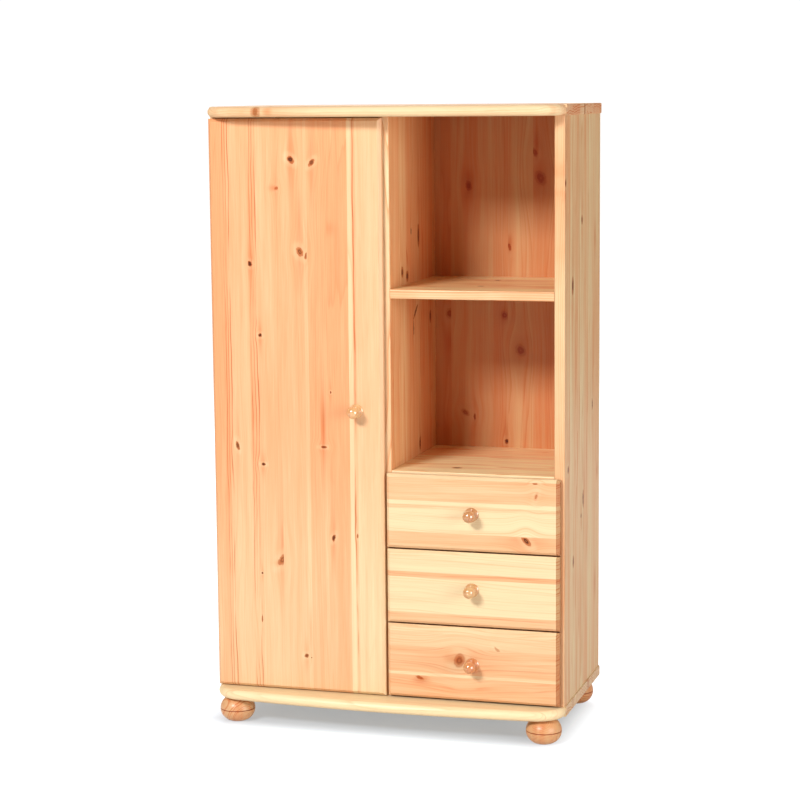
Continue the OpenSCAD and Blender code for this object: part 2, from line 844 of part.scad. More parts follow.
module knob_at(x, z) {
  color("sandybrown") translate([x, face_y, z]) rotate([90, 0, 0]) difference() {
    rotate_extrude($fn = 72) intersection() {
      union() {
        translate([0, knob_reach]) circle(r = knob_r, $fn = 72);
        square([knob_neck_r, knob_reach]);
        knob_base_outline();
      }
      square([knob_r + knob_base_r, knob_reach + knob_r]);
    }
    translate([0, 0, -cut]) cylinder(r = knob_screw_r + fit, h = knob_screw_in + cut + fit);
  }
}

module knob_screw_at(x, z) {
  color("silver") translate([x, door_back_y, z]) rotate([90, 0, 0]) {
    cylinder(r = knob_screw_r, h = front_t + knob_screw_in);
    translate([0, 0, -knob_head_t]) cylinder(r = knob_head_r, h = knob_head_t);
  }
}

module knob_bore(x, z) {
  translate([x, door_back_y + cut, z]) rotate([90, 0, 0])
    cylinder(r = knob_screw_r + fit, h = front_t + 2*cut);
}

// Door

module door_panel() {
  color("burlywood") difference() {
    translate([door_x0, door_back_y, door_z]) bevelled_front(door_w, door_h);
    for (z = hinge_z) translate([cup_x, door_back_y, z]) rotate([-90, 0, 0])
      translate([0, 0, -cup_depth - fit]) cylinder(r = cup_r + fit, h = cup_depth + cut);
    at_cup_screws() screw(door_screw_l, fit);
    at_plate_screws() screw(door_screw_l, fit);
    knob_bore(door_knob_x, door_mid_z);
  }
}

module door_knob() { knob_at(door_knob_x, door_mid_z); }

module door_knob_screw() { knob_screw_at(door_knob_x, door_mid_z); }

// Drawers, counted from the lowest

// The front, housed out behind for the ends of the sides and the front edge of the bottom
module drawer_front(i) {
  z = drawer_z(i);
  color("burlywood") difference() {
    translate([drawer_x0, door_back_y, z]) bevelled_front(drawer_w, drawer_front_h);
    for (x = [box_x[0], box_x[1] - box_side_t])
      translate([x - fit, door_back_y - box_housing - fit, z + box_lift - fit])
        cube([box_side_t + 2*fit, box_housing + fit + cut, box_h + 2*fit]);
    translate([box_x[0] + box_side_t, door_back_y - box_housing - fit, z + box_lift + bottom_up - fit])
      cube([box_x[1] - box_x[0] - 2*box_side_t, box_housing + fit + cut, box_bottom_t + 2*fit]);
    knob_bore(drawer_mid_x, z + drawer_front_h/2);
  }
}

// The left side of a box: runner groove outside, grooves for the bottom and the back inside
module box_side(i) {
  z = drawer_z(i) + box_lift;
  color("wheat") difference() {
    translate([box_x[0], door_back_y - box_housing, z])
      cube([box_side_t, box_rear_y - door_back_y + box_housing, box_h]);
    translate([box_x[0] - cut, runner_y - slide_fit, z + runner_lift - slide_fit])
      cube([groove_d + cut, box_rear_y - runner_y + slide_fit + cut, runner_h + 2*slide_fit]);
    translate([box_x[0] + box_side_t - back_housing, door_back_y - box_housing - cut, z + bottom_up - fit])
      cube([back_housing + cut, box_rear_y - door_back_y + box_housing + 2*cut, box_bottom_t + 2*fit]);
    translate([box_x[0] + box_side_t - back_housing, box_rear_y - back_inset - box_back_t - fit,
        z + bottom_up + box_bottom_t])
      cube([back_housing + cut, box_back_t + 2*fit, box_h]);
  }
}

module drawer_left_side(i) { box_side(i); }

module drawer_right_side(i) {
  translate([box_x[0] + box_x[1], 0, 0]) mirror([1, 0, 0]) box_side(i);
}

module drawer_back(i) {
  z = drawer_z(i) + box_lift + bottom_up + box_bottom_t + fit;
  x = box_x[0] + box_side_t - back_housing + fit;
  color("wheat") translate([x, box_rear_y - back_inset - box_back_t, z])
    cube([box_x[0] + box_x[1] - 2*x, box_back_t, drawer_z(i) + box_lift + box_h - z]);
}

module drawer_bottom(i) {
  x = box_x[0] + box_side_t - back_housing + fit;
  color("peru") translate([x, door_back_y, drawer_z(i) + box_lift + bottom_up])
    cube([box_x[0] + box_x[1] - 2*x, box_rear_y - back_inset - door_back_y, box_bottom_t]);
  color("peru") translate([box_x[0] + box_side_t + fit, door_back_y - box_housing,
      drawer_z(i) + box_lift + bottom_up])
    cube([box_x[1] - box_x[0] - 2*box_side_t - 2*fit, box_housing, box_bottom_t]);
}

module drawer_knob(i) { knob_at(drawer_mid_x, drawer_z(i) + drawer_front_h/2); }

module drawer_knob_screw(i) { knob_screw_at(drawer_mid_x, drawer_z(i) + drawer_front_h/2); }

// One line for each node

top_board();
bottom_board();
left_side();
right_side();
partition();
niche_shelf();
niche_floor();
left_back_panel();
right_back_panel();
loose_shelf(2);  // upper_inner_shelf
loose_shelf(1);  // middle_inner_shelf
loose_shelf(0);  // lower_inner_shelf
shelf_pins();
foot_at(0);  // front_left_foot
foot_at(1);  // front_right_foot
foot_at(2);  // back_left_foot
foot_at(3);  // back_right_foot
foot_screws();
carcass_dowels();
cam_bolts();
cam_locks();
back_nails();
runners(2);  // top_runners
runners(1);  // middle_runners
runners(0);  // bottom_runners
carcass_screws();
hinge_arm(2);  // upper_hinge_arm
hinge_arm(1);  // middle_hinge_arm
hinge_arm(0);  // lower_hinge_arm
magnet_catch();
door_panel();
door_knob();
door_knob_screw();
hinge_cup(2);  // upper_hinge_cup
hinge_cup(1);  // middle_hinge_cup
hinge_cup(0);  // lower_hinge_cup
hinge_pins();
door_screws();
catch_plate();
drawer_front(2);  // top_drawer_front
drawer_left_side(2);  // top_drawer_left_side
drawer_right_side(2);  // top_drawer_right_side
drawer_back(2);  // top_drawer_back
drawer_bottom(2);  // top_drawer_bottom
drawer_knob(2);  // top_drawer_knob
drawer_knob_screw(2);  // top_drawer_knob_screw
drawer_front(1);  // middle_drawer_front
drawer_left_side(1);  // middle_drawer_left_side
drawer_right_side(1);  // middle_drawer_right_side
drawer_back(1);  // middle_drawer_back
drawer_bottom(1);  // middle_drawer_bottom
drawer_knob(1);  // middle_drawer_knob
drawer_knob_screw(1);  // middle_drawer_knob_screw
drawer_front(0);  // bottom_drawer_front
drawer_left_side(0);  // bottom_drawer_left_side
drawer_right_side(0);  // bottom_drawer_right_side
drawer_back(0);  // bottom_drawer_back
drawer_bottom(0);  // bottom_drawer_bottom
drawer_knob(0);  // bottom_drawer_knob
drawer_knob_screw(0);  // bottom_drawer_knob_screw
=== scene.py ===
import math

import bpy
from mathutils import Matrix, Vector

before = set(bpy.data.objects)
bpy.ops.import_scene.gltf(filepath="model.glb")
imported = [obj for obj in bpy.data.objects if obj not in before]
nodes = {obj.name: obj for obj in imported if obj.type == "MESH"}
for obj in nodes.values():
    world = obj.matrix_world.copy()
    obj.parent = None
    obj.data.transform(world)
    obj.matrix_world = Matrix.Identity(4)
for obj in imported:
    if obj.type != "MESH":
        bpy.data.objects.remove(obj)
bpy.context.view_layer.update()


# ---- small helpers for shader trees ----

def linear(r, g, b):
    """An sRGB colour given as 0-255 steps, as the linear colour that a shader socket takes."""
    def one(c):
        c = c/255
        return c/12.92 if c <= 0.04045 else ((c + 0.055)/1.055)**2.4
    return (one(r), one(g), one(b), 1.0)


def put(tree, socket, value):
    """Sets a socket to a number or colour, or links it to another node's output."""
    if isinstance(value, bpy.types.NodeSocket):
        tree.links.new(value, socket)
    else:
        socket.default_value = value


def node(tree, kind, inputs=None, **settings):
    """A node of the given kind with its settings and inputs filled in."""
    n = tree.nodes.new(kind)
    for key, value in settings.items():
        setattr(n, key, value)
    for key, value in (inputs or {}).items():
        put(tree, n.inputs[key], value)
    return n


def calc(tree, operation, *values):
    """The output of a Math node that applies one operation to up to three values."""
    return node(tree, "ShaderNodeMath", dict(enumerate(values)), operation=operation).outputs[0]


def times(tree, value, by):
    return calc(tree, "MULTIPLY", value, by)


def square(tree, value):
    return calc(tree, "POWER", value, 2.0)


def hypotenuse(tree, a, b):
    return calc(tree, "SQRT", calc(tree, "ADD", square(tree, a), square(tree, b)))


def bell(tree, squared):
    """1 where a squared distance is 0, falling off in a bell shape: e to the power of minus the square."""
    return calc(tree, "EXPONENT", times(tree, squared, -1.0))


def spread(tree, value, width):
    """A random value between 0 and 1 as an amount round 0: half of it is taken away, and the rest is
    multiplied by the width."""
    return times(tree, calc(tree, "SUBTRACT", value, 0.5), width)


def ramp_between(tree, value, low, high, out_low=0.0, out_high=1.0):
    """A smooth step from out_low, where value is low, to out_high, where it is high."""
    n = node(tree, "ShaderNodeMapRange", {0: value, 1: low, 2: high, 3: out_low, 4: out_high},
             interpolation_type="SMOOTHSTEP")
    return n.outputs[0]


def within(tree, value, low, high):
    """1 where value lies between low and high, else 0."""
    return times(tree, calc(tree, "GREATER_THAN", value, low), calc(tree, "LESS_THAN", value, high))


def clamped(tree, value, most=1.0):
    return node(tree, "ShaderNodeClamp", {0: value, 2: most}).outputs[0]


def join(tree, x, y, z):
    return node(tree, "ShaderNodeCombineXYZ", {0: x, 1: y, 2: z}).outputs[0]


def split_xyz(tree, vector):
    return node(tree, "ShaderNodeSeparateXYZ", {0: vector}).outputs


def split_colour(tree, colour):
    """The three parts of a colour. Of a noise, they are three values that don't depend on each other."""
    return node(tree, "ShaderNodeSeparateColor", {0: colour}).outputs


def noise(tree, vector, scale, detail, **more):
    """A noise texture: its first output is one value, its Color three."""
    inputs = {"Vector": vector, "Scale": scale, "Detail": detail, **more}
    return node(tree, "ShaderNodeTexNoise", inputs).outputs


def dice(tree, number):
    """A random value and a random Color for a number, the same wherever the number is the same."""
    return node(tree, "ShaderNodeTexWhiteNoise", {"W": number}, noise_dimensions="1D").outputs


def blend(tree, kind, amount, a, b, **settings):
    """A colour mix of a with b."""
    n = node(tree, "ShaderNodeMix", data_type="RGBA", blend_type=kind, **settings)
    for socket, value in ((n.inputs[0], amount), (n.inputs[6], a), (n.inputs[7], b)):
        put(tree, socket, value)
    return n.outputs[2]


def new_group(name, inputs, outputs):
    """An empty node group with float sockets, or colour sockets where a kind is given."""
    tree = bpy.data.node_groups.new(name, "ShaderNodeTree")
    for direction, names in (("INPUT", inputs), ("OUTPUT", outputs)):
        for entry in names:
            title, kind = entry if isinstance(entry, tuple) else (entry, "Float")
            tree.interface.new_socket(name=title, in_out=direction, socket_type="NodeSocket" + kind)
    return tree, tree.nodes.new("NodeGroupInput").outputs, tree.nodes.new("NodeGroupOutput").inputs


def use(tree, group, inputs):
    """A group node with its inputs filled in."""
    n = tree.nodes.new("ShaderNodeGroup")
    n.node_tree = group
    for key, value in inputs.items():
        put(tree, n.inputs[key], value)
    return n.outputs


# ---- effects shared by the wood materials ----

KNOT_MARKS = ("Shift", "Core", "Halo", "Stain")  # what a knot does to the wood, handed on to the next knot
BEYOND = 9.0  # a place in metres outside every board, where a stave without a glue joint ends


def make_knot_group():
    """One knot. An ellipse of the given half sizes, turned by Lean, is dark inside, and a large one shows
    its own rings. Round it lies a pale ring of twisted wood, and a stain tails off along the grain. The
    fibres bend round it: their place across the grain is drawn in by a bell-shaped amount. The knot ends
    at the glue joints From and To of its stave. Distances from the knot count in its own half sizes."""
    uneven = 0.004  # metres by which its edge is rough
    core_out, core_in = 1.3, 0.45  # the dark core begins at the first and is full at the second
    halo_out, halo_in = 2.9, 1.4  # the pale ring, likewise
    ring_turn = 9.0  # radians of the wave that draws its rings
    small, large, ring_strength = 0.004, 0.009, 0.5  # half widths in metres between which rings come in
    bend_wide, bend_tall, bend_strength = 3.0, 4.5, -0.75  # reach and amount of the bent fibres
    tail_wide, tail_tall = 6.0, 0.3  # factors on the squares of the bend: a narrower and longer shape
    t, i, o = new_group("knot", ["Across", "Along", "Wobble", "At across", "At along", "Half width",
                                 "Half length", "Lean", "Strength", "From", "To"]
                        + [mark + " so far" for mark in KNOT_MARKS], KNOT_MARKS)
    x = calc(t, "SUBTRACT", i["Across"], i["At across"])
    y = calc(t, "SUBTRACT", i["Along"], i["At along"])
    strength = times(t, i["Strength"], within(t, i["Across"], i["From"], i["To"]))
    cos, sin = calc(t, "COSINE", i["Lean"]), calc(t, "SINE", i["Lean"])
    u = calc(t, "ADD", times(t, x, cos), times(t, y, sin))
    v = calc(t, "SUBTRACT", times(t, y, cos), times(t, x, sin))
    far = hypotenuse(t, calc(t, "DIVIDE", u, i["Half width"]), calc(t, "DIVIDE", v, i["Half length"]))
    rough = calc(t, "MINIMUM", calc(t, "DIVIDE", uneven, i["Half width"]), 1.0)
    edge = calc(t, "MULTIPLY_ADD", i["Wobble"], rough, far)
    ring_wave = calc(t, "MULTIPLY_ADD", calc(t, "COSINE", times(t, edge, ring_turn)), 0.5, 0.5)
    rings = times(t, ring_wave, ramp_between(t, i["Half width"], small, large, 0.0, ring_strength))
    core = times(t, ramp_between(t, edge, core_out, core_in), calc(t, "SUBTRACT", 1.0, rings))
    core = times(t, core, strength)
    halo = times(t, ramp_between(t, edge, halo_out, halo_in), strength)
    wide = square(t, calc(t, "DIVIDE", x, times(t, i["Half width"], bend_wide)))
    tall = square(t, calc(t, "DIVIDE", y, times(t, i["Half length"], bend_tall)))
    bend = bell(t, calc(t, "ADD", wide, tall))
    tail = bell(t, calc(t, "ADD", times(t, wide, tail_wide), times(t, tall, tail_tall)))
    shift = times(t, times(t, bend, x), bend_strength)
    put(t, o["Shift"], calc(t, "ADD", i["Shift so far"], shift))
    put(t, o["Core"], calc(t, "MAXIMUM", i["Core so far"], core))
    put(t, o["Halo"], calc(t, "MAXIMUM", i["Halo so far"], halo))
    put(t, o["Stain"], calc(t, "MAXIMUM", i["Stain so far"], times(t, tail, strength)))
    return t


def make_strewn_knots_group():
    """Knots where the eye has no fixed place for them: one in each cell of a stretched cell pattern,
    and only in the cells whose random number is high enough."""
    stretch = 0.4  # the cells are longer along the grain by one over this
    cells_per_metre, stray = 7.0, 0.9
    bare, knotty = 0.52, 0.56  # a cell whose random number is less stays bare, one with more has a knot
    smallest, size_range, narrow = 0.45, 0.75, 0.8  # sizes as parts of Size, and width as a part of length
    most_lean = 2.0  # radians
    t, i, o = new_group("strewn_knots", ["Across", "Along", "Wobble", "Seed", "Size"], KNOT_MARKS)
    flat = times(t, i["Along"], stretch)
    cells = node(t, "ShaderNodeTexVoronoi", {"Vector": join(t, i["Across"], flat, i["Seed"]),
                                             "Scale": cells_per_metre, "Randomness": stray},
                 voronoi_dimensions="3D")
    at = split_xyz(t, cells.outputs["Position"])
    chance = split_colour(t, cells.outputs["Color"])
    here = ramp_between(t, chance[1], bare, knotty)
    size = times(t, calc(t, "MULTIPLY_ADD", chance[0], size_range, smallest), i["Size"])
    k = use(t, knot, {"Across": i["Across"], "Along": i["Along"], "Wobble": i["Wobble"],
                      "At across": at[0], "At along": calc(t, "DIVIDE", at[1], stretch),
                      "Half width": times(t, size, narrow), "Half length": size,
                      "Lean": times(t, chance[2], most_lean), "Strength": here,
                      "From": -BEYOND, "To": BEYOND})
    put(t, o["Shift"], times(t, k["Shift"], here))
    for mark in KNOT_MARKS[1:]:
        put(t, o[mark], k[mark])
    return t


def make_figure_group():
    """The figure of one stave. Growth rings are cylinders round a pith line that lies below the face and
    wanders along the grain, as far as Scatter allows. Each ring darkens slowly and ends sharply, and some
    are stronger than others. Streaks and fibres are noise drawn out along the grain."""
    pith_aside, pith_depth, pith_deeper = 0.24, 0.01, 0.06  # metres: spread aside, least depth, its spread
    wander_aside, wander_deeper = 0.07, 0.03  # metres
    ring_stray = 4.5  # rings by which a ring strays from its circle
    ring_power, ring_end = 3.5, 0.88  # a ring darkens with this power of its width, up to this part of it
    faintest, stronger = 0.15, 1.3  # strength of the faintest ring, and how much more the strongest has
    seed_step = 37.0  # sets staves far apart in the noise
    drift_along = 1.5  # from here on, how fast each noise changes per metre
    stray_across, stray_along = 30.0, 1.6
    fibre_across, fibre_along = 700.0, 12.0
    streak_across, streak_along, streak_roughness = 60.0, 1.8, 0.62
    t, i, o = new_group("pine_figure", ["Across", "Along", "Depth", "Seed", "Pitch", "Scatter"],
                        ["Latewood", "Fibres", "Tone"])
    far_seed = times(t, i["Seed"], seed_step)
    drift = noise(t, join(t, far_seed, times(t, i["Along"], drift_along), 0.0), 1.0, 1.5)
    drift = split_colour(t, drift["Color"])
    stray = noise(t, join(t, times(t, i["Across"], stray_across), times(t, i["Along"], stray_along),
                          far_seed), 1.0, 2.0)
    chance = split_colour(t, dice(t, i["Seed"])["Color"])
    a = calc(t, "ADD", i["Across"], spread(t, drift[0], times(t, i["Scatter"], wander_aside)))
    a = calc(t, "ADD", a, spread(t, chance[0], times(t, i["Scatter"], pith_aside)))
    below = calc(t, "MULTIPLY_ADD", chance[1], pith_deeper, pith_depth)
    d = calc(t, "ADD", i["Depth"], times(t, below, i["Scatter"]))
    d = calc(t, "ADD", d, spread(t, drift[1], times(t, i["Scatter"], wander_deeper)))
    far = hypotenuse(t, a, d)
    count = calc(t, "ADD", calc(t, "DIVIDE", far, i["Pitch"]), spread(t, stray[0], ring_stray))
    part = calc(t, "FRACT", count)
    year = dice(t, calc(t, "ADD", calc(t, "FLOOR", count), far_seed))["Value"]
    late = times(t, calc(t, "POWER", part, ring_power), ramp_between(t, part, 1.0, ring_end))
    late = times(t, late, calc(t, "MULTIPLY_ADD", square(t, year), stronger, faintest))
    fine = noise(t, join(t, times(t, i["Across"], fibre_across), times(t, i["Along"], fibre_along),
                         times(t, i["Depth"], fibre_across)), 1.0, 2.0)
    slow = noise(t, join(t, times(t, i["Across"], streak_across), times(t, i["Along"], streak_along),
                         far_seed), 1.0, 4.0, Roughness=streak_roughness)
    put(t, o["Latewood"], late)
    put(t, o["Fibres"], fine[0])
    put(t, o["Tone"], slow[0])
    return t


def make_vein_group():
    """A dark resin vein that runs with the grain: a narrow line that bends, and whose strength comes
    and goes."""
    bend_width = 0.016  # metres
    gap, full = 0.35, 0.6  # values of Gaps where the vein fades out and where it has its full strength
    t, i, o = new_group("vein", ["Across", "Bend", "Gaps", "At", "Width", "Strength", "So far"], ["Veins"])
    x = calc(t, "SUBTRACT", calc(t, "SUBTRACT", i["Across"], i["At"]), spread(t, i["Bend"], bend_width))
    near = ramp_between(t, calc(t, "ABSOLUTE", x), i["Width"], 0.0)
    line = times(t, times(t, near, ramp_between(t, i["Gaps"], gap, full)), i["Strength"])
    put(t, o["Veins"], calc(t, "MAXIMUM", i["So far"], line))
    return t


def make_flame_group():
    """A reddish flame in the wood: a soft ellipse drawn out along the grain, within its stave."""
    t, i, o = new_group("flame", ["Across", "Along", "At across", "At along", "Half width", "Half length",
                                  "Strength", "From", "To", "Stain so far"], ["Stain"])
    x = calc(t, "SUBTRACT", i["Across"], i["At across"])
    y = calc(t, "SUBTRACT", i["Along"], i["At along"])
    wide = square(t, calc(t, "DIVIDE", x, i["Half width"]))
    tall = square(t, calc(t, "DIVIDE", y, i["Half length"]))
    strength = times(t, i["Strength"], within(t, i["Across"], i["From"], i["To"]))
    stain = times(t, bell(t, calc(t, "ADD", wide, tall)), strength)
    put(t, o["Stain"], calc(t, "MAXIMUM", i["Stain so far"], stain))
    return t


def make_wood_colour_group():
    """Sapwood to heartwood by Tone, paler in the halo of a knot, darker in the latewood, reddish in the
    veins and stains, and brown in the knots. Fibres stand up a little, latewood and knots lie lower."""
    fibre_tone, halo_paleness, deepest_tone = 0.45, 0.28, 1.3
    latewood, resin, stain = linear(232, 170, 122), linear(222, 150, 106), linear(228, 160, 112)
    stain_strength = 0.8
    knot_rim, knot_heart = (0.64, 0.35, 0.21, 1.0), (0.22, 0.17, 0.15, 1.0)
    rim_full = 0.4  # part of Core at which the rim's colour is full and the heart's begins
    fibre_height, ring_depth = 0.4, 0.6
    t, i, o = new_group("wood_colour", [("Sapwood", "Color"), ("Heartwood", "Color"), "Tone", "Latewood",
                                        "Latewood strength", "Fibres", "Veins", "Core", "Halo", "Stain"],
                        [("Colour", "Color"), "Height"])
    tone = calc(t, "MULTIPLY_ADD", calc(t, "SUBTRACT", i["Fibres"], 0.5), fibre_tone, i["Tone"])
    tone = calc(t, "SUBTRACT", tone, times(t, i["Halo"], halo_paleness))
    tone = clamped(t, tone, deepest_tone)
    base = blend(t, "MIX", tone, i["Sapwood"], i["Heartwood"], clamp_factor=False)
    grain = times(t, i["Latewood"], i["Latewood strength"])
    base = blend(t, "MULTIPLY", grain, base, latewood)
    base = blend(t, "MULTIPLY", i["Veins"], base, resin)
    base = blend(t, "MULTIPLY", times(t, i["Stain"], stain_strength), base, stain)
    base = blend(t, "MULTIPLY", ramp_between(t, i["Core"], 0.0, rim_full), base, knot_rim)
    base = blend(t, "MULTIPLY", ramp_between(t, i["Core"], rim_full, 1.0), base, knot_heart)
    put(t, o["Colour"], base)
    put(t, o["Height"], calc(t, "SUBTRACT", times(t, i["Fibres"], fibre_height),
                             calc(t, "ADD", times(t, grain, ring_depth), i["Core"])))
    return t


def make_staves_group():
    """Equal staves glued side by side: which one this is, as a random number, its tone, and 1 on the
    glue joints."""
    joint_out, joint_in = 0.488, 0.499  # parts of a stave's width from its middle
    number_step = 0.37  # between the random numbers of neighbours
    t, i, o = new_group("staves", ["Across", "Width", "Seed"], ["Stave", "Tone", "Joint"])
    count = calc(t, "ADD", calc(t, "DIVIDE", i["Across"], i["Width"]), i["Seed"])
    which = calc(t, "FLOOR", count)
    tone = dice(t, calc(t, "ADD", which, i["Seed"]))["Value"]
    edge = calc(t, "ABSOLUTE", calc(t, "SUBTRACT", calc(t, "FRACT", count), 0.5))
    put(t, o["Stave"], calc(t, "ADD", times(t, which, number_step), i["Seed"]))
    put(t, o["Tone"], tone)
    put(t, o["Joint"], ramp_between(t, edge, joint_out, joint_in))
    return t


knot = make_knot_group()
strewn_knots = make_strewn_knots_group()
figure = make_figure_group()
vein = make_vein_group()
flame = make_flame_group()
wood_colour = make_wood_colour_group()
staves = make_staves_group()


# ---- materials ----

SAPWOOD = linear(254, 232, 186)
HEARTWOOD = linear(248, 178, 126)
WOOD_LIGHTNESS = 0.78  # of both, under the lights below
END_GRAIN = linear(233, 226, 228)
# end grain of the drawer fronts, darkened partly as end grain and partly by painted shade
DRAWER_END_GRAIN_AND_SHADE = linear(207, 183, 162)
# painted shade for the edge faces of the drawer fronts in the gaps between them
PAINTED_GAP_SHADE = linear(140, 98, 68)
# painted shade in the grooves of the turned feet
PAINTED_GROOVE_SHADE = linear(186, 128, 90)


def new_material(name):
    m = bpy.data.materials.new(name)
    m.use_nodes = True
    t = m.node_tree
    t.nodes.clear()
    out = t.nodes.new("ShaderNodeOutputMaterial")
    shader = t.nodes.new("ShaderNodeBsdfPrincipled")
    t.links.new(shader.outputs[0], out.inputs[0])
    return m, t, shader


def object_place(t):
    """Object coordinates, in metres."""
    return node(t, "ShaderNodeTexCoord").outputs["Object"]


def two_woods(tint=(1.0, 1.0, 1.0)):
    """The colours of sapwood and heartwood under a tint."""
    return [tuple(c*w*WOOD_LIGHTNESS for c, w in zip(wood, tint)) + (1.0,)
            for wood in (SAPWOOD[:3], HEARTWOOD[:3])]


def relief(t, shader, height, strength, depth):
    """Gives the surface a fine relief, depth metres deep."""
    bump = node(t, "ShaderNodeBump", {"Height": height, "Strength": strength, "Distance": depth})
    put(t, shader.inputs["Normal"], bump.outputs[0])


def lacquer(t, shader, colour, height, roughness=0.38, coat=0.12, coat_roughness=0.2, coat_ior=1.5,
            depth=0.00012):
    """Clear lacquer over wood whose softer fibres lie a little lower. The lacquer's own shine is the
    coat, so the wood below it has a low specular level."""
    put(t, shader.inputs["Base Color"], colour)
    shader.inputs["Roughness"].default_value = roughness
    shader.inputs["Coat Weight"].default_value = coat
    shader.inputs["Coat Roughness"].default_value = coat_roughness
    shader.inputs["Coat IOR"].default_value = coat_ior
    shader.inputs["Specular IOR Level"].default_value = 0.2
    relief(t, shader, height, 0.5, depth)


def lay_staves(t, across, stave_width, bands, seed):
    """The staves of a board: which one this is, as a random number, its tone, and 1 on its glue joints.
    The bands become steps of a colour ramp, with the tone in its red and the number in its green."""
    last_width, number_step = 0.2, 0.618  # room in metres for the last stave; step between the numbers
    if not bands:
        glued = use(t, staves, {"Across": across, "Width": stave_width, "Seed": seed})
        return glued["Stave"], glued["Tone"], glued["Joint"]
    low, high = bands[0][0], bands[-1][0] + last_width
    position = node(t, "ShaderNodeMapRange", {0: across, 1: low, 2: high}).outputs[0]
    strip = node(t, "ShaderNodeValToRGB", {0: position})
    strip.color_ramp.interpolation = "CONSTANT"
    stops = strip.color_ramp.elements
    while len(stops) < len(bands):
        stops.new(0.5)
    for n, (start, tone) in enumerate(bands):
        stops[n].position = (start - low)/(high - low)
        stops[n].color = (tone, (n*number_step + seed) % 1.0, 0.0, 1.0)
    tone, number, unused = split_colour(t, strip.outputs[0])
    return calc(t, "ADD", number, seed), tone, 0.0


def stave_limits(place, stave_width, bands, seed):
    """The two glue joints, From and To, of the stave that holds a place across the grain."""
    if bands:
        starts = [start for start, tone in bands]
        return {"From": max([b for b in starts if b <= place], default=-BEYOND),
                "To": min([b for b in starts if b > place], default=BEYOND)}
    n = math.floor(place/stave_width + seed)
    return {"From": (n - seed)*stave_width, "To": (n + 1 - seed)*stave_width}


